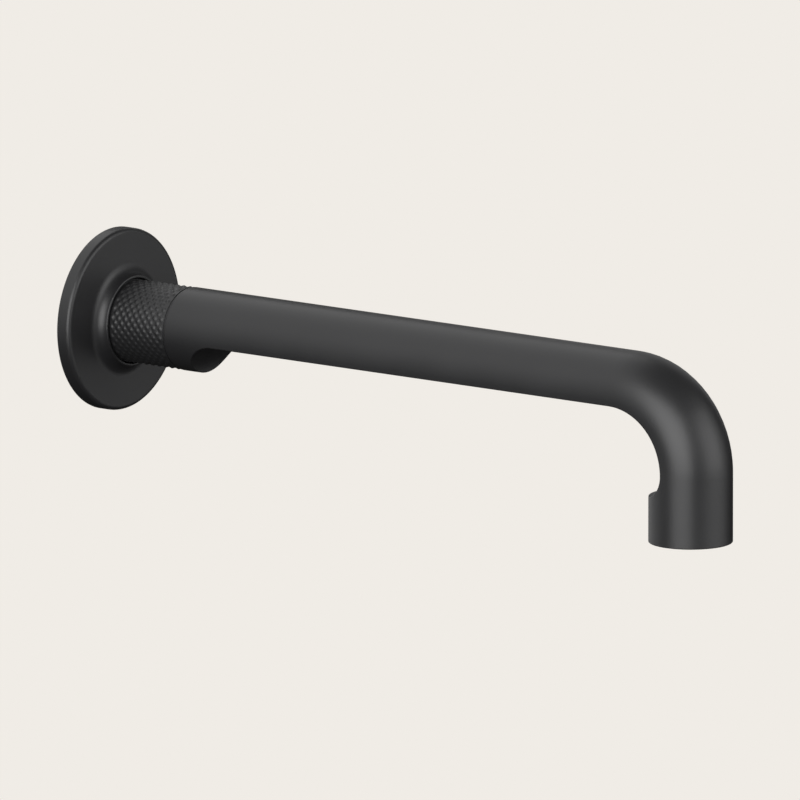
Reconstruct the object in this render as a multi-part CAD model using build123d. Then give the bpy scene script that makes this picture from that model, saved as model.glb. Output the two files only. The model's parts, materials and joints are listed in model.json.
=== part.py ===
from build123d import *
import math
import os

# A wall spout: a tube leaves the wall, turns down through a tight bend and pours at its tip.
# Millimetres. X points out of the wall along the arm, Z is up, and the origin is the centre of
# the flange's back face, which lies on the wall.

# Arm
tube_d = 25.0             # outside of the arm and of the outlet
reach = 215.2             # wall to the outlet's axis
bend_r = 21.25            # bend, to the tube's axis
arm_wall = 2.8            # metal around the waterway
flat_drop = 2.25          # tube's axis down to the flat underside
root_cove_r = 10.6        # cove that starts the flat at the wall end
tip_cove_r = 7.1          # cove that ends the flat above the outlet
plain_band = 6.85         # full-round band between the collar and the flat
outlet_band_h = 13.85     # full-round band around the outlet
rim_round = 0.3           # rounded edges of the flat and of the outlet
seam_round = 0.5          # rounded edge of the arm at the collar

# Knurled collar
collar_length = 27.05
collar_wall = 1.5
knurl_pitch = 2.41        # diamond to diamond along the arm
knurl_count = 26          # diamonds around the collar
knurl_land = 5.2          # plain land under the flange's seal, at least
knurl_depth = 0.3
knurl_flat = 0.36         # share of each diamond that its flat top takes
knurl_end = 0.6           # plain root between the last row and the arm
knurl_end_sink = 0.1      # that root's depth below the diamonds

# Wall flange
flange_d = 54.66
flange_t = 4.43
flange_edge_r = 1.25
hub_h = 3.72              # hub in front of the flange's face
hub_cove_r = 3.3
hub_lip = 0.65            # thickness of the hub's lip
hub_lip_round = 0.3
hub_gap = 0.5             # around the collar

# Rubber in the flange
seal_t = 2.1              # seal ring between the collar and its groove
seal_w = 2.2
seal_round = 0.7
seal_x = 2.9              # middle of the seal ring
gasket_t = 2.0
gasket_rim = 2.0          # flange metal outside the gasket
gasket_land = 2.4         # flange metal between the seal's groove and the gasket
seal_side_gap = 0.25      # beside a seal in its groove
gasket_gap = 0.15

# Nipple: G1/2 thread into the wall, spigot into the arm
thread_d = 20.955
thread_length = 12.0
thread_chamfer = 1.2
shoulder_t = 1.5
shoulder_step = 0.5       # shoulder beyond the arm's tail
tail_wall = 2.9           # arm's tail around the spigot
spigot_gap = 0.1          # around the spigot in the tail
spigot_wall = 3.2         # spigot around its bore
key_step = 0.2            # hexagon socket's flats outside the bore
key_depth = 9.0
nose_length = 2.2         # spigot beyond the middle of the screw's groove
nose_gap = 0.2            # in front of the spigot
nose_chamfer = 0.5
o_ring_w = 1.9
o_ring_groove = 1.45      # groove's depth in the spigot
o_ring_first_x = 10.0
o_ring_step = 6.0
o_ring_round = 0.6

# Set screw under the plain band
screw_d = 4.0
screw_gap = 0.05
screw_from_seam = 3.35
screw_sink = 0.4          # below the arm's surface
screw_key = 2.0           # hexagon socket, across flats
screw_key_depth = 2.0
screw_tip_d = 0.6
point_groove = 1.0        # depth of the spigot's groove for the screw's point
point_gap = 0.1

# Aerator in the outlet
outlet_wall = 1.75        # metal around the aerator
aerator_depth = 10.0      # rim up to the shelf
aerator_sink = 1.2        # rim up to the aerator
aerator_gap = 0.05
washer_t = 1.5
washer_w = 2.7            # washer's ring, across
housing_wall = 1.9
housing_lip = 0.8         # ledge that carries the honeycomb
housing_lip_t = 1.0
notch_w = 2.4             # notches for the aerator key
notch_h = 0.6
notch_count = 4
insert_gap = 0.1          # around what sits in the housing
cell_size = 1.9           # honeycomb cell, across flats
cell_wall = 0.45
honeycomb_t = 2.6
screen_t = 0.4
screen_hole_d = 1.2
screen_pitch = 1.7
jet_plate_t = 1.2
jet_skirt_w = 1.0
jet_hole_d = 1.2
jet_pitch = 1.85          # jet to jet around their circle, at least
jet_inset = 0.9           # jets' circle inside the sieve's dome
sieve_rise = 1.6          # dome of the inlet sieve
sieve_t = 0.4
sieve_rim = 0.8
sieve_gap = 0.3           # inside the washer

# Worked out from the sizes above
tube_r = tube_d / 2
bend_x = reach - bend_r
band_top_z = -(bend_r + tip_cove_r)
rim_z = band_top_z - outlet_band_h
tail_x = shoulder_t
seam_x = tail_x + collar_length
flat_x = seam_x + plain_band
knurl_half = knurl_pitch / 2
knurl_rows = math.floor((collar_length - knurl_land - knurl_end) / knurl_half) - 1
knurl_root_r = tube_r - knurl_depth
knurl_turn = math.pi / knurl_count
tail_r = tube_r - collar_wall
socket_r = tail_r - tail_wall
spigot_r = socket_r - spigot_gap
nipple_bore_r = spigot_r - spigot_wall
key_size = 2 * (nipple_bore_r + key_step)
screw_x = seam_x + screw_from_seam
point_floor_z = point_groove - spigot_r
point_half_w = point_groove + screw_tip_d / 2 + point_gap
nose_x = screw_x + nose_length
socket_x = nose_x + nose_gap
hub_bore_r = tube_r + hub_gap
lip_r = hub_bore_r + hub_lip
hub_x = flange_t + hub_h
seal_r = tube_r + seal_t
gasket_in_r = seal_r + gasket_land
gasket_out_r = flange_d / 2 - gasket_rim
o_ring_root_r = spigot_r - o_ring_groove
o_ring_places = (o_ring_first_x, o_ring_first_x + o_ring_step)
shelf_z = rim_z + aerator_depth
outlet_r = tube_r - outlet_wall
housing_r = outlet_r - aerator_gap
housing_z = rim_z + aerator_sink
housing_top_z = shelf_z - washer_t
insert_r = housing_r - housing_wall
honeycomb_z = housing_z + housing_lip_t
screen_z = honeycomb_z + honeycomb_t
jet_z = screen_z + screen_t
washer_bore_r = housing_r - washer_w
sieve_r = washer_bore_r - sieve_gap
dome_r = sieve_r - sieve_rim
jet_circle_r = dome_r - jet_inset
jet_count = math.floor(2 * math.pi * jet_circle_r / jet_pitch)
cut_margin = 1.0          # cutting shapes reach this far past what they cut


def rod(x_from, x_to, radius):
    """A cylinder along the arm."""
    return extrude(Plane.YZ.offset(x_from) * Circle(radius), amount=x_to - x_from)


def post(z_from, z_to, radius):
    """A cylinder on the outlet's axis."""
    return Pos(reach, 0, z_from) * extrude(Circle(radius), amount=z_to - z_from)


def turned(outline):
    """A closed outline of (x, radius) lines turned about the arm's axis."""
    return revolve(Plane.XZ * make_face(outline.edges()), Axis.X)


def soft_ring(x_middle, width, inner_r, outer_r, corner_r):
    """A rubber ring about the arm's axis, with the flattened section it has in its groove."""
    section = RectangleRounded(width, outer_r - inner_r, corner_r)
    return revolve(Plane.XZ * (Pos(x_middle, (inner_r + outer_r) / 2) * section), Axis.X)


def along_spout(radius, x_from, z_to):
    """A round bar that follows the spout's axis from the wall end to the outlet."""
    route = Line((x_from, 0), (bend_x, 0))
    route += CenterArc((bend_x, -bend_r), bend_r, 90, -90)
    route += Line((reach, -bend_r), (reach, z_to))
    return sweep(Plane.YZ.offset(x_from) * Circle(radius), path=Plane.XZ * route)


def underside(grow):
    """The space under the arm that the flat and its two coves bound, grown by a wall."""
    below = -(max(tube_r, flat_drop + root_cove_r) + cut_margin)
    left = flat_x - grow
    root = (flat_x + root_cove_r, -flat_drop - root_cove_r)
    tip = (reach - flat_drop - tip_cove_r, -bend_r)
    tip_z = band_top_z - grow
    outline = Line((left, below), (left, root[1]))
    outline += CenterArc(root, root_cove_r + grow, 180, -90)
    outline += Line((root[0], grow - flat_drop), (bend_x, grow - flat_drop))
    outline += CenterArc((bend_x, -bend_r), bend_r - flat_drop + grow, 90, -90)
    outline += CenterArc(tip, tip_cove_r + grow, 0, -90)
    outline += Polyline((tip[0], tip_z), (bend_x, tip_z), (bend_x, below), (left, below))
    return extrude(Plane.XZ * make_face(outline.edges()), amount=tube_d, both=True)


def spout_arm():
    tube = along_spout(tube_r, seam_x, rim_z)
    tube = fillet(tube.edges().sort_by(Axis.X)[0], seam_round)
    tube = fillet(tube.edges().sort_by(Axis.Z)[0], rim_round)
    cut = underside(0)
    arm = tube - cut
    arm = fillet(new_edges(tube, cut, combined=arm), rim_round)
    arm += rod(tail_x, seam_x, tail_r)
    waterway = along_spout(tube_r - arm_wall, nose_x, shelf_z) - underside(arm_wall)
    arm -= waterway
    arm -= rod(tail_x, socket_x, socket_r)
    arm -= post(rim_z, shelf_z, outlet_r)
    outside_z = -(tube_r + cut_margin)
    screw_hole = extrude(Circle(screw_d / 2), amount=point_floor_z - outside_z)
    return arm - Pos(screw_x, 0, outside_z) * screw_hole


def knurl(x_from, x_to):
    """A band of flat-topped diamonds, closed with flat ends and filled to the axis."""
    along = knurl_half * knurl_flat
    sag = knurl_root_r * (1 - math.cos(knurl_turn))
    edge_half_w = knurl_root_r * math.sin(knurl_turn)
    across = edge_half_w * along * knurl_depth / (knurl_half * knurl_depth + sag * (knurl_half - along))
    lean = math.atan2(across, tube_r) / knurl_turn
    corner_r = math.hypot(across, tube_r)

    def at(x, turn, radius):
        return Vector(x, radius * math.sin(turn * knurl_turn), radius * math.cos(turn * knurl_turn))

    def flat(*corners):
        return Face(Wire.make_polygon(corners))

    def diamond(x, turn):
        base = [at(x + knurl_half, turn, knurl_root_r), at(x, turn + 1, knurl_root_r),
                at(x - knurl_half, turn, knurl_root_r), at(x, turn - 1, knurl_root_r)]
        top = [at(x + along, turn, tube_r), at(x, turn + lean, corner_r),
               at(x - along, turn, tube_r), at(x, turn - lean, corner_r)]
        sides = [flat(base[i - 1], base[i], top[i], top[i - 1]) for i in range(len(base))]
        return [flat(*top), *sides]

    def end(x, x_inner, odd):
        ring = [at(x, 2 * place + odd, knurl_root_r) for place in range(knurl_count)]
        notches = [flat(ring[place - 1], ring[place], at(x_inner, 2 * place - 1 + odd, knurl_root_r))
                   for place in range(knurl_count)]
        return [flat(*ring), *notches]

    faces = []
    for row in range(knurl_rows):
        for place in range(knurl_count):
            faces += diamond(x_to - (row + 1) * knurl_half, 2 * place + row % 2)
    faces += end(x_to, x_to - knurl_half, 0)
    faces += end(x_from, x_from + knurl_half, (knurl_rows - 1) % 2)
    return Solid(Shell(faces))


def knurled_collar():
    band_to = seam_x - knurl_end
    band_from = band_to - (knurl_rows + 1) * knurl_half
    end_r = knurl_root_r * math.cos(knurl_turn) - knurl_end_sink
    collar = knurl(band_from, band_to) + rod(tail_x, band_from, tube_r) + rod(band_to, seam_x, end_r)
    return collar - rod(tail_x, seam_x, tail_r)


def wall_flange():
    face_r = flange_d / 2 - flange_edge_r
    outline = Polyline((0, hub_bore_r), (0, flange_d / 2), (flange_t - flange_edge_r, flange_d / 2))
    outline += CenterArc((flange_t - flange_edge_r, face_r), flange_edge_r, 90, -90)
    outline += Line((flange_t, face_r), (flange_t, lip_r + hub_cove_r))
    outline += CenterArc((flange_t + hub_cove_r, lip_r + hub_cove_r), hub_cove_r, 180, 90)
    outline += Line((flange_t + hub_cove_r, lip_r), (hub_x - hub_lip_round, lip_r))
    outline += CenterArc((hub_x - hub_lip_round, lip_r - hub_lip_round), hub_lip_round, 90, -90)
    outline += Polyline((hub_x, lip_r - hub_lip_round), (hub_x, hub_bore_r), (0, hub_bore_r))
    flange = turned(outline)
    groove_half_w = seal_w / 2 + seal_side_gap
    flange -= rod(seal_x - groove_half_w, seal_x + groove_half_w, seal_r)
    recess = rod(0, gasket_t, gasket_out_r) - rod(0, gasket_t, gasket_in_r)
    return flange - recess


def flange_seal():
    return soft_ring(seal_x, seal_w, tube_r, seal_r, seal_round)


def wall_gasket():
    return rod(0, gasket_t, gasket_out_r - gasket_gap) - rod(0, gasket_t, gasket_in_r + gasket_gap)


def inlet_nipple():
    thread = chamfer(rod(-thread_length, 0, thread_d / 2).edges().sort_by(Axis.X)[0], thread_chamfer)
    spigot = chamfer(rod(tail_x, nose_x, spigot_r).edges().sort_by(Axis.X)[-1], nose_chamfer)
    nipple = thread + rod(0, tail_x, tail_r + shoulder_step) + spigot
    for x in o_ring_places:
        half_w = o_ring_w / 2 + seal_side_gap
        nipple -= rod(x - half_w, x + half_w, spigot_r) - rod(x - half_w, x + half_w, o_ring_root_r)
    floor_half_w = screw_tip_d / 2
    floor_r = spigot_r - point_groove
    groove = Polyline((screw_x - point_half_w, spigot_r), (screw_x - floor_half_w, floor_r),
                      (screw_x + floor_half_w, floor_r), (screw_x + point_half_w, spigot_r), close=True)
    nipple -= turned(groove)
    nipple -= rod(-thread_length, nose_x, nipple_bore_r)
    key = RegularPolygon(key_size / 2, 6, major_radius=False)
    return nipple - extrude(Plane.YZ.offset(nose_x - key_depth) * key, amount=key_depth)


def nipple_o_rings():
    return Compound([soft_ring(x, o_ring_w, o_ring_root_r, socket_r, o_ring_round) for x in o_ring_places])


def lock_screw():
    radius = screw_d / 2 - screw_gap
    tip_z = point_floor_z - point_gap
    head_z = -(tube_r - screw_sink)
    cone_h = radius - screw_tip_d / 2
    outline = Polyline((0, head_z), (radius, head_z), (radius, tip_z - cone_h),
                       (screw_tip_d / 2, tip_z), (0, tip_z), close=True)
    body = revolve(Plane.XZ * make_face(outline.edges()), Axis.Z)
    socket = RegularPolygon(screw_key / 2, 6, major_radius=False)
    body -= Pos(0, 0, head_z) * extrude(socket, amount=screw_key_depth)
    return Pos(screw_x, 0, 0) * body


def pierced(disc, hole, pitch, within_r, z_from, height):
    """A disc on the outlet's axis with a close hexagonal field of holes."""
    across = 2 * math.ceil(within_r / pitch) + 1
    places = [place.position for place in HexLocations(pitch / 2, across, across, major_radius=False)]
    inside = [place for place in places if place.length < within_r]
    holes = extrude(Sketch() + [Pos(place) * hole for place in inside], amount=height)
    return disc - Pos(reach, 0, z_from) * holes


def aerator_washer():
    return post(housing_top_z, shelf_z, housing_r) - post(housing_top_z, shelf_z, washer_bore_r)


def aerator_housing():
    housing = post(housing_z, housing_top_z, housing_r)
    housing -= post(honeycomb_z, housing_top_z, insert_r)
    housing -= post(housing_z, honeycomb_z, insert_r - housing_lip)
    notch = Pos(insert_r, 0) * Rectangle(2 * housing_wall, notch_w)
    notches = extrude(Sketch() + PolarLocations(0, notch_count) * notch, amount=notch_h)
    return housing - Pos(reach, 0, housing_z) * notches


def aerator_honeycomb():
    disc = post(honeycomb_z, screen_z, insert_r - insert_gap)
    cell = RegularPolygon(cell_size / 2, 6, major_radius=False, rotation=30)
    return pierced(disc, cell, cell_size + cell_wall, insert_r - cell_size, honeycomb_z, honeycomb_t)


def aerator_screen():
    disc = post(screen_z, jet_z, insert_r - insert_gap)
    hole = Circle(screen_hole_d / 2)
    return pierced(disc, hole, screen_pitch, insert_r - screen_pitch, screen_z, screen_t)


def aerator_jet_plate():
    plate = post(jet_z, housing_top_z, insert_r - insert_gap)
    plate -= post(jet_z, housing_top_z - jet_plate_t, insert_r - insert_gap - jet_skirt_w)
    jets = Sketch() + PolarLocations(jet_circle_r, jet_count) * Circle(jet_hole_d / 2)
    jets = extrude(jets, amount=jet_plate_t)
    return plate - Pos(reach, 0, housing_top_z - jet_plate_t) * jets


def aerator_sieve():
    """A shallow pierced dome on the jet plate, inside the washer."""
    ball_r = (dome_r ** 2 + sieve_rise ** 2) / (2 * sieve_rise)
    height = sieve_rise + sieve_t
    centre = Pos(reach, 0, housing_top_z + sieve_rise - ball_r)
    dome = centre * Sphere(ball_r + sieve_t) & post(housing_top_z, housing_top_z + height, dome_r)
    dome -= centre * Sphere(ball_r)
    rim_top_z = housing_top_z + sieve_t
    rim = post(housing_top_z, rim_top_z, sieve_r) - post(housing_top_z, rim_top_z, dome_r)
    hole = Circle(screen_hole_d / 2)
    return pierced(dome + rim, hole, screen_pitch, dome_r - screen_pitch, housing_top_z, height)


pieces = {
    "spout_arm": spout_arm,
    "knurled_collar": knurled_collar,
    "wall_flange": wall_flange,
    "flange_seal": flange_seal,
    "wall_gasket": wall_gasket,
    "inlet_nipple": inlet_nipple,
    "nipple_o_rings": nipple_o_rings,
    "lock_screw": lock_screw,
    "aerator_washer": aerator_washer,
    "aerator_housing": aerator_housing,
    "aerator_honeycomb": aerator_honeycomb,
    "aerator_screen": aerator_screen,
    "aerator_jet_plate": aerator_jet_plate,
    "aerator_sieve": aerator_sieve,
}

os.makedirs("parts", exist_ok=True)
for name, make in pieces.items():
    piece = make()
    export_step(piece, f"parts/{name}.step")
    print(name, len(piece.solids()), "solid(s)", round(piece.volume), "mm3")
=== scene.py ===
# %% [markdown]
# # A wall spout in matte black
# The object is a bath spout: a flange on the wall, a knurled collar, a tube that turns down at its
# end, and an aerator in the outlet. The solids are already drawn to size, and they come in as a
# fixed frame in metres. This lesson gives each of them its finish, and remakes the two pieces
# whose detail follows a rule: the collar with its diamonds and the nipple with its thread.

# %% Load the frame
import json
import math

import bmesh
import bpy
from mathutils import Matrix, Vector

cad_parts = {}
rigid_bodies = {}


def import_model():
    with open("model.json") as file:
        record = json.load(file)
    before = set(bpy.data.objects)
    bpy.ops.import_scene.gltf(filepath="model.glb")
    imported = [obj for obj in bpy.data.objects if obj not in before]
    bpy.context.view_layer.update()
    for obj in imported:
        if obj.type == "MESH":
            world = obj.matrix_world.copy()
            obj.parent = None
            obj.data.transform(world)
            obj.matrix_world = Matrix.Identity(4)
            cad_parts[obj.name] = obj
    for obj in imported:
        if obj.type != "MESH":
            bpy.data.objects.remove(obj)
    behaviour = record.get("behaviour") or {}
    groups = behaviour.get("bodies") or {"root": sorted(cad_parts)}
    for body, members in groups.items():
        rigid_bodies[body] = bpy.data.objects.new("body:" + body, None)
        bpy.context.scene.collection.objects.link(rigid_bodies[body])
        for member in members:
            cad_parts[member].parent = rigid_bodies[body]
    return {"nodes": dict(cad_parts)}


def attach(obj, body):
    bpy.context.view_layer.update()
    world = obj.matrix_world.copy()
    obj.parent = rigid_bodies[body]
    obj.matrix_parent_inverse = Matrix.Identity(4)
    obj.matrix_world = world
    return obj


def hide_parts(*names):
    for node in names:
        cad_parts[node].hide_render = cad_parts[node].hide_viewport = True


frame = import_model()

nodes = frame["nodes"]
for leftover in [o for o in bpy.data.objects if o.name in ("Cube", "Light", "Camera")]:
    bpy.data.objects.remove(leftover)
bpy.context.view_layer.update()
scene = bpy.context.scene
scene.view_settings.view_transform = "Standard"

# %% [markdown]
# ## Helpers
# A material or a Geometry Nodes tree is a set of nodes joined by links, so one function adds a node,
# sets its properties, and gives each input a value or a link. Colours are written as the sRGB
# hex values that a paint program shows, and shaders want linear light, so one function turns
# them. Sizes are written in millimetres and multiplied by `mm`, because the frame is in metres.

# %% Helpers
mm = 0.001


def add(tree, kind, inputs=None, **settings):
    """Adds a node. Settings are its properties; inputs are values, or sockets to link from."""
    node = tree.nodes.new(kind)
    for name, value in settings.items():
        setattr(node, name, value)
    for key, value in (inputs or {}).items():
        if isinstance(value, bpy.types.NodeSocket):
            tree.links.new(value, node.inputs[key])
        else:
            node.inputs[key].default_value = value
    return node


def linear(hex_colour):
    """An sRGB hex colour as linear RGBA."""
    channels = [int(hex_colour[i:i + 2], 16) / 255 for i in (1, 3, 5)]
    return [c / 12.92 if c <= 0.04045 else ((c + 0.055) / 1.055) ** 2.4 for c in channels] + [1.0]


def per_mm(size):
    """The scale of a texture on Object coordinates whose features are `size` millimetres across."""
    return 1 / (size * mm)


def new_material(name, values):
    """A material with a Principled shader; what is the same all over goes on the shader's own sockets."""
    material = bpy.data.materials.new(name)
    material.use_nodes = True
    tree = material.node_tree
    tree.nodes.clear()
    shader = add(tree, "ShaderNodeBsdfPrincipled", values)
    add(tree, "ShaderNodeOutputMaterial", {"Surface": shader.outputs["BSDF"]})
    place = add(tree, "ShaderNodeTexCoord").outputs["Object"]
    return material, tree, shader, place


print("white in linear light:", linear("#ffffff"), "and a 1 mm pattern's scale:", per_mm(1))

# %% [markdown]
# ## Matte black powder coat
# The arm, the collar and the flange are brass under a baked powder coat. Powder melts into an even
# film whose surface keeps a faint orange peel, about a millimetre from swell to swell, and a much
# finer grain that makes the gloss soft. The grain is drawn coarser than it is, or it wouldn't show.
# A plain dark colour would look like moulded plastic, so two noise patterns drive a small bump, and
# a slow one shifts the colour and the roughness a little.

# %% Powder coat
peel_size, grain_size, drift_size = 1.1, 0.3, 16
grain_share, peel_height = 0.35, 0.012
coat, tree, shader, place = new_material("black_powder_coat", {"IOR": 1.5})
peel = add(tree, "ShaderNodeTexNoise", {"Vector": place, "Scale": per_mm(peel_size), "Detail": 1.0})
grain = add(tree, "ShaderNodeTexNoise", {"Vector": place, "Scale": per_mm(grain_size), "Detail": 2.0})
drift = add(tree, "ShaderNodeTexNoise", {"Vector": place, "Scale": per_mm(drift_size), "Detail": 2.0})
height = add(tree, "ShaderNodeMath", {0: grain.outputs["Fac"], 1: grain_share, 2: peel.outputs["Fac"]},
             operation="MULTIPLY_ADD")
bump = add(tree, "ShaderNodeBump", {"Height": height.outputs[0], "Strength": 0.35,
                                    "Distance": peel_height * mm})
tone = add(tree, "ShaderNodeMix", {0: drift.outputs["Fac"], 6: linear("#1a1a1b"), 7: linear("#1f1f20")},
           data_type="RGBA")
gloss = add(tree, "ShaderNodeMapRange", {"Value": drift.outputs["Fac"], "To Min": 0.39, "To Max": 0.45})
tree.links.new(tone.outputs[2], shader.inputs["Base Color"])
tree.links.new(gloss.outputs["Result"], shader.inputs["Roughness"])
tree.links.new(bump.outputs["Normal"], shader.inputs["Normal"])
print(coat.name, "has", len(tree.nodes), "nodes, and a peel of", peel_size, "mm")

# %% [markdown]
# ## Turned brass
# The nipple is turned from bare brass bar, and the tool leaves rings around it, a fraction of a
# millimetre apart. Modelled rings would take thousands of faces, so bands of a Wave texture along X
# draw them in a bump, bent a little so that no two are alike. At a scale of 1 that texture goes
# through 20 radians in a unit of length, so the spacing of the rings gives the scale. Brass browns
# where it has been handled, so a slow noise mixes in a browner tone.

# %% Turned brass
ring_spacing, ring_height, tarnish_size = 0.35, 0.008, 5
wave_radians = 20
bands = 2 * math.pi / wave_radians * per_mm(ring_spacing)
brass, tree, shader, place = new_material("turned_brass", {"Metallic": 1.0})
rings = add(tree, "ShaderNodeTexWave", {"Vector": place, "Scale": bands, "Distortion": 1.5, "Detail": 2.0},
            bands_direction="X")
tarnish = add(tree, "ShaderNodeTexNoise", {"Vector": place, "Scale": per_mm(tarnish_size), "Detail": 4.0})
tone = add(tree, "ShaderNodeMix", {0: tarnish.outputs["Fac"], 6: linear("#ddc189"), 7: linear("#c29c5a")},
           data_type="RGBA")
gloss = add(tree, "ShaderNodeMapRange", {"Value": tarnish.outputs["Fac"], "To Min": 0.22, "To Max": 0.42})
bump = add(tree, "ShaderNodeBump", {"Height": rings.outputs["Fac"], "Strength": 0.4,
                                    "Distance": ring_height * mm})
tree.links.new(tone.outputs[2], shader.inputs["Base Color"])
tree.links.new(gloss.outputs["Result"], shader.inputs["Roughness"])
tree.links.new(bump.outputs["Normal"], shader.inputs["Normal"])
print(brass.name, "has", len(tree.nodes), "nodes, and rings every", ring_spacing, "mm")

# %% [markdown]
# ## Rubber and foam
# The seal, the O-rings and the washer are moulded nitrile rubber: nearly black, with a dull skin
# and a bloom that greys it in patches. The gasket behind the flange is die-cut from closed-cell
# foam, so its face is full of tiny pits; Voronoi cells about half a millimetre across draw them as a bump,
# and as painted shade that darkens each cell towards its middle, patchy under a slow noise.
# All of them are seen from behind or hardly at all, so no cell is modelled.

# %% Rubber and foam
bloom_size, skin_size, skin_height = 3, 0.2, 0.01
rubber, tree, shader, place = new_material("nitrile_rubber", {"IOR": 1.52})
bloom = add(tree, "ShaderNodeTexNoise", {"Vector": place, "Scale": per_mm(bloom_size), "Detail": 5.0})
skin = add(tree, "ShaderNodeTexNoise", {"Vector": place, "Scale": per_mm(skin_size), "Detail": 2.0})
tone = add(tree, "ShaderNodeMix", {0: bloom.outputs["Fac"], 6: linear("#161617"), 7: linear("#2a2a2b")},
           data_type="RGBA")
gloss = add(tree, "ShaderNodeMapRange", {"Value": bloom.outputs["Fac"], "To Min": 0.5, "To Max": 0.75})
bump = add(tree, "ShaderNodeBump", {"Height": skin.outputs["Fac"], "Strength": 0.3,
                                    "Distance": skin_height * mm})
tree.links.new(tone.outputs[2], shader.inputs["Base Color"])
tree.links.new(gloss.outputs["Result"], shader.inputs["Roughness"])
tree.links.new(bump.outputs["Normal"], shader.inputs["Normal"])

cell_size, clump_size, cell_depth = 0.55, 4, 0.15
foam, tree, shader, place = new_material("closed_cell_foam", {"Roughness": 0.9, "IOR": 1.4})
cells = add(tree, "ShaderNodeTexVoronoi", {"Vector": place, "Scale": per_mm(cell_size)})
clumps = add(tree, "ShaderNodeTexNoise", {"Vector": place, "Scale": per_mm(clump_size), "Detail": 3.0})
# Painted shade: each cell is darker towards its middle, where its pit would hold shade, in patches set by
# the clump noise.
shade = add(tree, "ShaderNodeMath", {0: cells.outputs["Distance"], 1: clumps.outputs["Fac"]},
            operation="MULTIPLY")
tone = add(tree, "ShaderNodeMix", {0: shade.outputs[0], 6: linear("#262627"), 7: linear("#58585a")},
           data_type="RGBA")
bump = add(tree, "ShaderNodeBump", {"Height": cells.outputs["Distance"], "Strength": 0.8,
                                    "Distance": cell_depth * mm})
tree.links.new(tone.outputs[2], shader.inputs["Base Color"])
tree.links.new(bump.outputs["Normal"], shader.inputs["Normal"])
print(rubber.name, "and", foam.name, "made, with cells of", cell_size, "mm")

# %% [markdown]
# ## Stainless steel and acetal
# The set screw and the aerator's two screens are plain stainless steel with fine rolling lines,
# which noise gives when it is squeezed on two axes. The aerator's housing and jet plate are black
# acetal and its honeycomb is natural acetal, which is a milky white. Moulded acetal is smooth with
# a slightly waxy gloss and faint flow marks, so one loop makes both with a swirled noise.

# %% Stainless steel and acetal
line_length, line_squeeze = 1.4, 14.0
steel, tree, shader, place = new_material("stainless_steel", {"Metallic": 1.0})
along = add(tree, "ShaderNodeMapping", {"Vector": place, "Scale": (1.0, line_squeeze, line_squeeze)})
lines = add(tree, "ShaderNodeTexNoise", {"Vector": along.outputs["Vector"],
                                         "Scale": per_mm(line_length), "Detail": 3.0})
tone = add(tree, "ShaderNodeMix", {0: lines.outputs["Fac"], 6: linear("#b9babb"), 7: linear("#9a9b9d")},
           data_type="RGBA")
gloss = add(tree, "ShaderNodeMapRange", {"Value": lines.outputs["Fac"], "To Min": 0.25, "To Max": 0.45})
tree.links.new(tone.outputs[2], shader.inputs["Base Color"])
tree.links.new(gloss.outputs["Result"], shader.inputs["Roughness"])

moulded, flow_size = {}, 2.5
for name, dark, light in (("black_acetal", "#1b1b1d", "#262628"), ("natural_acetal", "#d6d5d0", "#e4e3de")):
    moulded[name], tree, shader, place = new_material(name, {"IOR": 1.48})
    flow = add(tree, "ShaderNodeTexNoise", {"Vector": place, "Scale": per_mm(flow_size), "Detail": 3.0,
                                            "Distortion": 1.0})
    tone = add(tree, "ShaderNodeMix", {0: flow.outputs["Fac"], 6: linear(dark), 7: linear(light)},
               data_type="RGBA")
    gloss = add(tree, "ShaderNodeMapRange", {"Value": flow.outputs["Fac"], "To Min": 0.35, "To Max": 0.5})
    tree.links.new(tone.outputs[2], shader.inputs["Base Color"])
    tree.links.new(gloss.outputs["Result"], shader.inputs["Roughness"])
print(steel.name, "and", " and ".join(moulded), "made")

# %% [markdown]
# ## Finishes on the solids
# A solid whose shape is already right keeps its mesh and only gets its material: the arm with its
# flat underside and its bend, the flange with its coved hub, the seals and the aerator. Modelling
# them again would only risk their size.

# %% Finishes on the solids
finish_of = {
    "spout_arm": coat, "knurled_collar": coat, "wall_flange": coat,
    "flange_seal": rubber, "nipple_o_rings": rubber, "aerator_washer": rubber, "wall_gasket": foam,
    "inlet_nipple": brass, "lock_screw": steel, "aerator_screen": steel, "aerator_sieve": steel,
    "aerator_housing": moulded["black_acetal"], "aerator_jet_plate": moulded["black_acetal"],
    "aerator_honeycomb": moulded["natural_acetal"],
}
for name, material in finish_of.items():
    nodes[name].data.materials.clear()
    nodes[name].data.materials.append(material)
print("finishes on", len(finish_of), "of", len(nodes), "nodes")

# %% [markdown]
# ## Turned shapes
# The collar's sleeve and the nipple's spigot are turned on a lathe, so both come from an outline of
# (x, radius) points spun about the X axis. Each point becomes a ring of vertices, and neighbouring
# rings are joined by faces. A radius may be a function of the angle, which gives a hexagon socket.
# Blender's Spin or a Screw modifier would do the rings too, but not the socket.

# %% Turned shapes
merge_distance = 0.002 * mm


def turned(outline, around):
    """A mesh of the outline spun about X, with this many points around it and both ends open."""
    points, faces = [], []
    for x, radius in outline:
        for k in range(around):
            angle = 2 * math.pi * k / around
            r = radius(angle) if callable(radius) else radius
            points.append((x * mm, r * math.sin(angle) * mm, r * math.cos(angle) * mm))
    for row in range(len(outline) - 1):
        for k in range(around):
            low, turn = row * around, (k + 1) % around
            faces.append((low + k, low + turn, low + around + turn, low + around + k))
    mesh = bpy.data.meshes.new("turned")
    mesh.from_pydata(points, [], faces)
    return mesh


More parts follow.
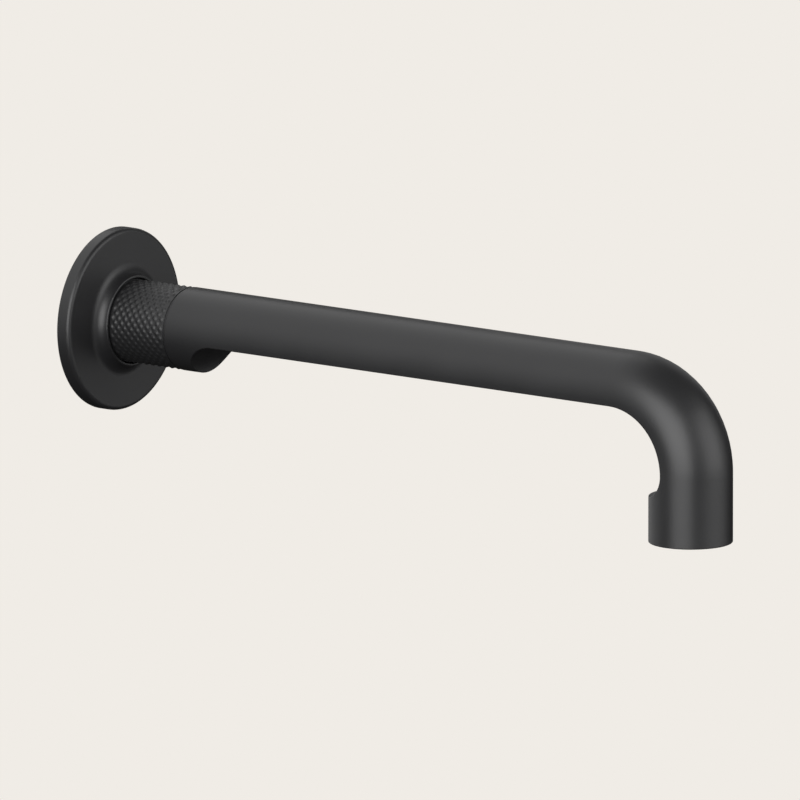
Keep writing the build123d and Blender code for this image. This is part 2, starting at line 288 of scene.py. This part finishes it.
def welded(name, meshes, material, smooth_below, bridges=()):
    """One mesh from several: doubles merged, open rims between two x bridged, faces outwards,
    and shading smooth where faces meet at less than an angle in degrees."""
    joined = bmesh.new()
    for mesh in meshes:
        joined.from_mesh(mesh)
        bpy.data.meshes.remove(mesh)
    bmesh.ops.remove_doubles(joined, verts=joined.verts, dist=merge_distance)
    for low, high in bridges:
        rims = [e for e in joined.edges
                if e.is_boundary and all(low * mm < v.co.x < high * mm for v in e.verts)]
        bmesh.ops.bridge_loops(joined, edges=rims)
    bmesh.ops.recalc_face_normals(joined, faces=joined.faces)
    print(name, "open edges:", sum(not e.is_manifold for e in joined.edges))
    result = bpy.data.meshes.new(name)
    joined.to_mesh(result)
    joined.free()
    result.materials.clear()
    result.materials.append(material)
    result.shade_smooth()
    result.set_sharp_from_angle(angle=math.radians(smooth_below))
    return result


def placed(name, mesh, node):
    """Puts a finished mesh in the scene in a node's stead."""
    piece = bpy.data.objects.new(name, mesh)
    scene.collection.objects.link(piece)
    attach(piece, "root")
    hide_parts(node)
    print(name, len(mesh.polygons), "faces, instead of", node)


# %% [markdown]
# ## Shapes from Geometry Nodes
# A tree of Geometry Nodes grows a shape from a few named sizes. It needs a modifier to run, so a
# helper makes the tree's inputs, sets them on a modifier of an empty object, and takes the result
# as a plain mesh. An input is set by its socket's identifier, which stays when a name changes.

# %% Shapes from Geometry Nodes
socket_kinds = {int: "NodeSocketInt", float: "NodeSocketFloat", bpy.types.Object: "NodeSocketObject",
                bpy.types.Material: "NodeSocketMaterial"}


def grown(name, build, values):
    """The plain mesh that a Geometry Nodes tree makes with these input values."""
    tree = bpy.data.node_groups.new(name, "GeometryNodeTree")
    tree.interface.new_socket("Geometry", in_out="OUTPUT", socket_type="NodeSocketGeometry")
    ids = {}
    for key, value in values.items():
        socket = tree.interface.new_socket(key, in_out="INPUT", socket_type=socket_kinds[type(value)])
        ids[key] = socket.identifier
    sizes = add(tree, "NodeGroupInput").outputs
    add(tree, "NodeGroupOutput", {"Geometry": build(tree, sizes)})
    holder = bpy.data.objects.new(name, bpy.data.meshes.new(name))
    scene.collection.objects.link(holder)
    modifier = holder.modifiers.new(name, "NODES")
    modifier.node_group = tree
    for key, value in values.items():
        modifier[ids[key]] = value
    mesh = bpy.data.meshes.new_from_object(holder.evaluated_get(bpy.context.evaluated_depsgraph_get()))
    holder.modifiers.remove(modifier)
    bpy.data.objects.remove(holder)
    print(name, "tree:", len(tree.nodes), "nodes gave", len(mesh.polygons), "faces")
    return mesh


# %% [markdown]
# ## One diamond of the knurl
# A knurling tool rolls two crossing sets of grooves into the collar, which leaves rows of small
# diamonds, each row half a step round from the last. The coat rounds them, so one diamond is a
# small patch of the collar's skin, wrapped on its cylinder, that swells from the grooves to a soft
# tip. Its slope is nil along its edges, so the patches meet in smooth grooves.

# %% One diamond of the knurl
tube_r = 12.5
knurl_pitch, knurl_around, knurl_rows, knurl_depth = 2.41, 26, 16, 0.3
knurl_to = 27.95
knurl_root_r = tube_r - knurl_depth
half, half_step = knurl_pitch / 2, math.pi / knurl_around
knurl_from = knurl_to - (knurl_rows + 1) * half
cuts = 6

spots, patches = [], []
for i in range(cuts + 1):
    for j in range(cuts + 1):
        u, v = 2 * i / cuts - 1, 2 * j / cuts - 1
        angle = half_step * (u - v) / 2
        r = knurl_root_r + knurl_depth * ((1 - u * u) * (1 - v * v)) ** 2
        spots.append((half * (u + v) / 2 * mm, r * math.sin(angle) * mm, r * math.cos(angle) * mm))
for i in range(cuts):
    for j in range(cuts):
        corner = i * (cuts + 1) + j
        patches.append((corner, corner + cuts + 1, corner + cuts + 2, corner + 1))
diamond_mesh = bpy.data.meshes.new("knurl_diamond")
diamond_mesh.from_pydata(spots, [], patches)
diamond = bpy.data.objects.new("knurl_diamond", diamond_mesh)
print("one diamond:", len(patches), "faces,", knurl_depth, "mm high")

# %% [markdown]
# ## All the diamonds
# The rule of the knurl is short: a ring of 26 diamonds, and that ring again every half pitch, turned
# by half a step. Two Instance on Points nodes say just that, where drawing 416 diamonds by hand or
# cutting two sets of helical grooves would take far longer. The rows are counted from the arm's end.


# %% All the diamonds
def knurl_tree(tree, sizes):
    """A ring of diamonds, and the ring repeated along the collar with half a step of turn each time."""
    index = add(tree, "GeometryNodeInputIndex").outputs[0]
    turn = add(tree, "ShaderNodeMath", {0: math.pi, 1: sizes["Around"]}, operation="DIVIDE")
    row_angle = add(tree, "ShaderNodeMath", {0: index, 1: turn.outputs[0]}, operation="MULTIPLY")
    place_angle = add(tree, "ShaderNodeMath", {0: row_angle.outputs[0], 1: 2.0}, operation="MULTIPLY")
    place_turn = add(tree, "ShaderNodeCombineXYZ", {"X": place_angle.outputs[0]})
    row_turn = add(tree, "ShaderNodeCombineXYZ", {"X": row_angle.outputs[0]})
    shape = add(tree, "GeometryNodeObjectInfo", {"Object": sizes["Diamond"]})
    places = add(tree, "GeometryNodePoints", {"Count": sizes["Around"]})
    ring = add(tree, "GeometryNodeInstanceOnPoints", {
        "Points": places.outputs[0], "Instance": shape.outputs["Geometry"],
        "Rotation": place_turn.outputs[0]})
    last = add(tree, "ShaderNodeCombineXYZ", {"X": sizes["Last row"]})
    step = add(tree, "ShaderNodeCombineXYZ", {"X": sizes["Row step"]})
    rows = add(tree, "GeometryNodeMeshLine", {
        "Count": sizes["Rows"], "Start Location": last.outputs[0], "Offset": step.outputs[0]})
    band = add(tree, "GeometryNodeInstanceOnPoints", {
        "Points": rows.outputs[0], "Instance": ring.outputs[0], "Rotation": row_turn.outputs[0]})
    real = add(tree, "GeometryNodeRealizeInstances", {"Geometry": band.outputs[0]})
    done = add(tree, "GeometryNodeSetMaterial", {"Geometry": real.outputs[0], "Material": sizes["Material"]})
    return done.outputs[0]


knurl = grown("knurl", knurl_tree, {
    "Diamond": diamond, "Around": knurl_around, "Rows": knurl_rows, "Last row": (knurl_to - half) * mm,
    "Row step": -half * mm, "Material": coat})
bpy.data.objects.remove(diamond)

# %% [markdown]
# ## The collar
# Under the diamonds the collar is a plain sleeve: a smooth land that the flange's seal grips, and a
# narrow sunk ring before the arm, which shows as a fine dark line. The knurl ends in a zigzag on
# both sides, so its two rims are bridged to the sleeve's, and the collar becomes one closed skin.
# The sleeve has four points to each diamond, so that the two rims match.

# %% Collar
tail_x, tail_r, seam_x = 1.5, 11.0, 28.55
rim_sink, seam_sink = 0.02, 0.1
rim_r, seam_r = knurl_root_r - rim_sink, knurl_root_r * math.cos(half_step) - seam_sink
land_edge = 0.15
points_per_diamond, collar_smooth = 4, 32
sleeve = turned([
    (knurl_to, rim_r), (knurl_to, seam_r), (seam_x, seam_r), (seam_x, tail_r), (tail_x, tail_r),
    (tail_x, tube_r - land_edge), (tail_x + land_edge, tube_r), (knurl_from - land_edge, tube_r),
    (knurl_from, tube_r - land_edge), (knurl_from, rim_r)], points_per_diamond * knurl_around)
rims = [(knurl_from - half, knurl_from + 2 * half), (knurl_to - 2 * half, knurl_to + half)]
collar = welded("collar_diamonds", [knurl, sleeve], coat, collar_smooth, rims)
placed("collar_diamonds", collar, "knurled_collar")

# %% [markdown]
# ## The pipe thread
# The nipple screws into the fitting in the wall with a half-inch pipe thread: 14 turns to the inch,
# flanks at 55 degrees and rounded crests. A thread is a strip of profile wound round a cylinder, so
# a flat grid is enough: its columns go round and its rows follow the helix, and a few sums move
# each point to its angle, height and radius. A smooth step stands for the flank and its two rounded
# ends. Rows that run past an end are pressed flat against it.

# %% The pipe thread
thread_r, thread_root_r, thread_pitch = 10.4775, 9.3155, 25.4 / 14
thread_length, thread_chamfer, thread_relief = 12.0, 1.2, 1.0
rows_per_turn, thread_turns, nipple_around = 8, 8, 96
root_share, crest_share = 0.05, 0.45


def thread_tree(tree, sizes):
    """A flat grid wound into a thread: its X runs along the nipple, and its Y is the angle."""
    wound = add(tree, "ShaderNodeMath", {0: sizes["Turns"], 1: sizes["Pitch"]}, operation="MULTIPLY")
    grid = add(tree, "GeometryNodeMeshGrid", {
        "Size X": wound.outputs[0], "Size Y": 2 * math.pi, "Vertices X": sizes["Rows"],
        "Vertices Y": sizes["Columns"]})
    spot = add(tree, "ShaderNodeSeparateXYZ", {0: add(tree, "GeometryNodeInputPosition").outputs[0]}).outputs
    rise = add(tree, "ShaderNodeMath", {0: sizes["Pitch"], 1: 2 * math.pi}, operation="DIVIDE")
    slant = add(tree, "ShaderNodeMath", {0: spot["Y"], 1: rise.outputs[0], 2: spot["X"]},
                operation="MULTIPLY_ADD")
    shifted = add(tree, "ShaderNodeMath", {0: sizes["Far end"], 1: 0.5, 2: slant.outputs[0]},
                  operation="MULTIPLY_ADD")
    x = add(tree, "ShaderNodeClamp", {
        "Value": shifted.outputs[0], "Min": sizes["Far end"], "Max": 0.0}).outputs[0]
    phase = add(tree, "ShaderNodeMath", {0: spot["X"], 1: sizes["Pitch"]}, operation="DIVIDE")
    flank = add(tree, "ShaderNodeMath", {0: phase.outputs[0], 1: 0.5}, operation="PINGPONG")
    profile = add(tree, "ShaderNodeMapRange", {
        "Value": flank.outputs[0], "From Min": root_share, "From Max": crest_share,
        "To Min": sizes["Root radius"], "To Max": sizes["Crest radius"]}, interpolation_type="SMOOTHSTEP")
    from_tip = add(tree, "ShaderNodeMath", {0: x, 1: sizes["Far end"]}, operation="SUBTRACT")
    lead = add(tree, "ShaderNodeMath", {0: from_tip.outputs[0], 1: sizes["Tip radius"]}, operation="ADD")
    runout = add(tree, "ShaderNodeMath", {0: sizes["Run-out"], 1: x}, operation="SUBTRACT")
    relief = add(tree, "ShaderNodeMath", {0: runout.outputs[0], 1: sizes["Root radius"]},
                 operation="MAXIMUM")
    under_lead = add(tree, "ShaderNodeMath", {0: profile.outputs[0], 1: lead.outputs[0]},
                     operation="MINIMUM")
    radius = add(tree, "ShaderNodeMath", {0: under_lead.outputs[0], 1: relief.outputs[0]},
                 operation="MINIMUM")
    upright = add(tree, "ShaderNodeCombineXYZ", {"X": x, "Z": radius.outputs[0]})
    round_x = add(tree, "ShaderNodeVectorRotate", {"Vector": upright.outputs[0], "Angle": spot["Y"]},
                  rotation_type="X_AXIS")
    bent = add(tree, "GeometryNodeSetPosition", {
        "Geometry": grid.outputs["Mesh"], "Position": round_x.outputs[0]})
    merged = add(tree, "GeometryNodeMergeByDistance", {
        "Geometry": bent.outputs[0], "Distance": merge_distance})
    real = add(tree, "GeometryNodeRealizeInstances", {"Geometry": merged.outputs[0]})
    done = add(tree, "GeometryNodeSetMaterial", {"Geometry": real.outputs[0], "Material": sizes["Material"]})
    return done.outputs[0]


thread = grown("pipe_thread", thread_tree, {
    "Turns": thread_turns, "Rows": thread_turns * rows_per_turn + 1, "Columns": nipple_around + 1,
    "Pitch": thread_pitch * mm, "Far end": -thread_length * mm, "Crest radius": thread_r * mm,
    "Root radius": thread_root_r * mm, "Tip radius": (thread_r - thread_chamfer) * mm,
    "Run-out": (thread_root_r - thread_relief) * mm, "Material": brass})

# %% [markdown]
# ## The nipple
# The rest of the nipple goes on from the thread's two ends: a shoulder that the arm's tail rests on,
# a spigot with two O-ring grooves and a third groove for the set screw's point, a hexagon socket for
# the key that screws it in, and the bore. All but the socket is round, so one outline runs along
# all of it and is spun.

# %% Nipple
bore_r, bore_edge, spigot_r = 4.8, 0.5, 8.0
shoulder_r, shoulder_edge = 11.5, 0.2
ring_groove_r, ring_groove_w, ring_groove_x = 6.55, 2.4, (8.8, 14.8)
point_groove_r, point_groove_x, point_groove_flat, point_groove_flank = 7.0, 31.9, 0.3, 1.1
nose_x, nose_edge = 34.1, 0.5
key_flat_r, key_depth = 5.0, 9.0
nipple_smooth = 35


def hexagon(angle):
    """The radius of the hexagon socket at an angle."""
    return key_flat_r / math.cos((angle + math.pi / 6) % (math.pi / 3) - math.pi / 6)


outline = [
    (0, thread_root_r), (0, shoulder_r - shoulder_edge), (shoulder_edge, shoulder_r),
    (tail_x - shoulder_edge, shoulder_r), (tail_x, shoulder_r - shoulder_edge), (tail_x, spigot_r)]
for x in ring_groove_x:
    outline += [(x, spigot_r), (x, ring_groove_r), (x + ring_groove_w, ring_groove_r),
                (x + ring_groove_w, spigot_r)]
outline += [
    (point_groove_x - point_groove_flat - point_groove_flank, spigot_r),
    (point_groove_x - point_groove_flat, point_groove_r),
    (point_groove_x + point_groove_flat, point_groove_r),
    (point_groove_x + point_groove_flat + point_groove_flank, spigot_r),
    (nose_x - nose_edge, spigot_r), (nose_x, spigot_r - nose_edge), (nose_x, hexagon),
    (nose_x - key_depth, hexagon), (nose_x - key_depth, bore_r), (bore_edge - thread_length, bore_r),
    (-thread_length, bore_r + bore_edge), (-thread_length, thread_r - thread_chamfer)]
nipple = welded("threaded_nipple", [thread, turned(outline, nipple_around)], brass, nipple_smooth)
placed("threaded_nipple", nipple, "inlet_nipple")

# %% [markdown]
# ## Floor and room
# The spout hangs in the air, as on a wall that isn't drawn, and the photograph shows no shadow of it.
# So the pale round floor lies far below, lower than a camera that looks up from under the spout. The
# camera sees the room as the warm white of the photograph's ground. Mirrored at that strength, the
# room would lay a pale haze over the black coat, most of all along its edges, so what shines sees
# the same ground at a fiftieth of it. No other light comes from the room.

# %% Floor and room
floor_r, floor_drop, floor_x, floor_points = 0.7, 15.0, 0.1, 128
mottle_size = 60
mirrored_share = 0.02
floor_mesh = bpy.data.meshes.new("floor")
disc = bmesh.new()
bmesh.ops.create_circle(disc, cap_ends=True, radius=floor_r, segments=floor_points)
bmesh.ops.translate(disc, verts=disc.verts, vec=(floor_x, 0, -floor_drop))
disc.to_mesh(floor_mesh)
disc.free()
floor = bpy.data.objects.new("floor", floor_mesh)
scene.collection.objects.link(floor)
paper, tree, shader, place = new_material("pale_floor", {"Roughness": 0.9})
mottle = add(tree, "ShaderNodeTexNoise", {"Vector": place, "Scale": per_mm(mottle_size), "Detail": 3.0})
tone = add(tree, "ShaderNodeMix", {0: mottle.outputs["Fac"], 6: linear("#dedbd7"), 7: linear("#e6e3df")},
           data_type="RGBA")
tree.links.new(tone.outputs[2], shader.inputs["Base Color"])
floor_mesh.materials.append(paper)

ground_colour = linear("#f0ece6")
room = bpy.data.worlds.new("room")
scene.world = room
room.use_nodes = True
tree = room.node_tree
tree.nodes.clear()
ray = add(tree, "ShaderNodeLightPath").outputs
mirrored = add(tree, "ShaderNodeMath", {0: ray["Is Glossy Ray"], 1: mirrored_share}, operation="MULTIPLY")
dim = add(tree, "ShaderNodeBackground", {"Color": ground_colour, "Strength": mirrored.outputs[0]})
ground = add(tree, "ShaderNodeBackground", {"Color": ground_colour, "Strength": 1.0})
plain = add(tree, "ShaderNodeMath", {0: ray["Is Camera Ray"], 1: ray["Is Transmission Ray"]},
            operation="MAXIMUM")
seen = add(tree, "ShaderNodeMixShader", {0: plain.outputs[0], 1: dim.outputs[0], 2: ground.outputs[0]})
add(tree, "ShaderNodeOutputWorld", {"Surface": seen.outputs[0]})
print("floor", 2 * floor_r, "m across and", floor_drop, "m down; room mirrored at", mirrored_share)

# %% [markdown]
# ## Soft boxes
# Long soft highlights on a black tube come from large rectangles of light. A wide one stands to the
# left, one faces the front, and two on the right lie one inside the other, so that their light fades
# towards the edge. A weak one stands behind. Small lamps would leave hard lines. The places and
# strengths of the boxes were fitted to the tones of the photograph.

# %% Soft boxes
middle, box_distance = Vector((0.11, 0, -0.01)), 1.5


def aimed(name, data, target, azimuth, elevation, distance):
    """A lamp or camera that faces a point; azimuth runs in degrees from the front (-Y) towards +X."""
    a, e = math.radians(azimuth), math.radians(elevation)
    back = Vector((math.sin(a) * math.cos(e), -math.cos(a) * math.cos(e), math.sin(e)))
    thing = bpy.data.objects.new(name, data)
    thing.location = target + back * distance
    thing.rotation_mode = "QUATERNION"
    thing.rotation_quaternion = (-back).to_track_quat("-Z", "Y")
    scene.collection.objects.link(thing)
    return thing


for name, azimuth, elevation, width, height, watts in (
        ("front_box", 15, 15, 1.6, 1.6, 35.8), ("left_box", -85, 30, 3.0, 3.0, 30.9),
        ("right_box", 105, 12, 3.0, 2.24, 13.5), ("right_core", 105, 15, 1.34, 1.3, 10.0),
        ("back_box", -160, 20, 0.86, 1.3, 1.6)):
    lamp = bpy.data.lights.new(name, "AREA")
    lamp.shape = "RECTANGLE"
    lamp.size, lamp.size_y, lamp.energy = width, height, watts
    aimed(name, lamp, middle, azimuth, elevation, box_distance)
    print(name, "at", azimuth, "degrees,", watts, "W")

# %% [markdown]
# ## Camera
# The arm looks equally thick at both its ends, so the photograph was taken from far away, and a long
# lens stands ten metres off. An orthographic camera would look nearly the same. The angles and the
# aim were fitted to the outline of the object.

# %% Camera
view_azimuth, view_elevation, view_distance = 37.422, 10.969, 10.5914
aim = Vector((70.604, 48.134, -24.135)) * mm
lens = bpy.data.cameras.new("camera")
lens.lens, lens.sensor_width = 1600, 36
lens.clip_start, lens.clip_end = 1, 100
scene.camera = aimed("camera", lens, aim, view_azimuth, view_elevation, view_distance)
print("camera at", [round(v, 3) for v in scene.camera.location], "m")
